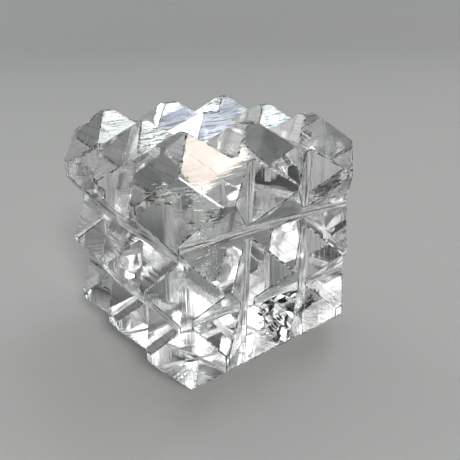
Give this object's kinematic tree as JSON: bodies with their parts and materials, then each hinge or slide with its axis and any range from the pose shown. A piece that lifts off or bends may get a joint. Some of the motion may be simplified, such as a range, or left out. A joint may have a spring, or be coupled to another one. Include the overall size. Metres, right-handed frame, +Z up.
{
  "type": "quartz crystal",
  "caption": "Clear quartz block cut as a cube, with low four-sided pyramids in rows on every face.",
  "frame": {"origin": "on the surface that the stone stands on, under the middle of the stone", "axes": "+Z up, with the cube's sides square to +X and +Y"},
  "size_m": [0.0502, 0.0504, 0.0505],
  "materials": {
    "quartz": "clear stone with finely ground facets, white veils inside, IOR 1.544"
  },
  "bodies": {
    "root": {"quartz_crystal": "quartz"}
  },
  "joints": []
}
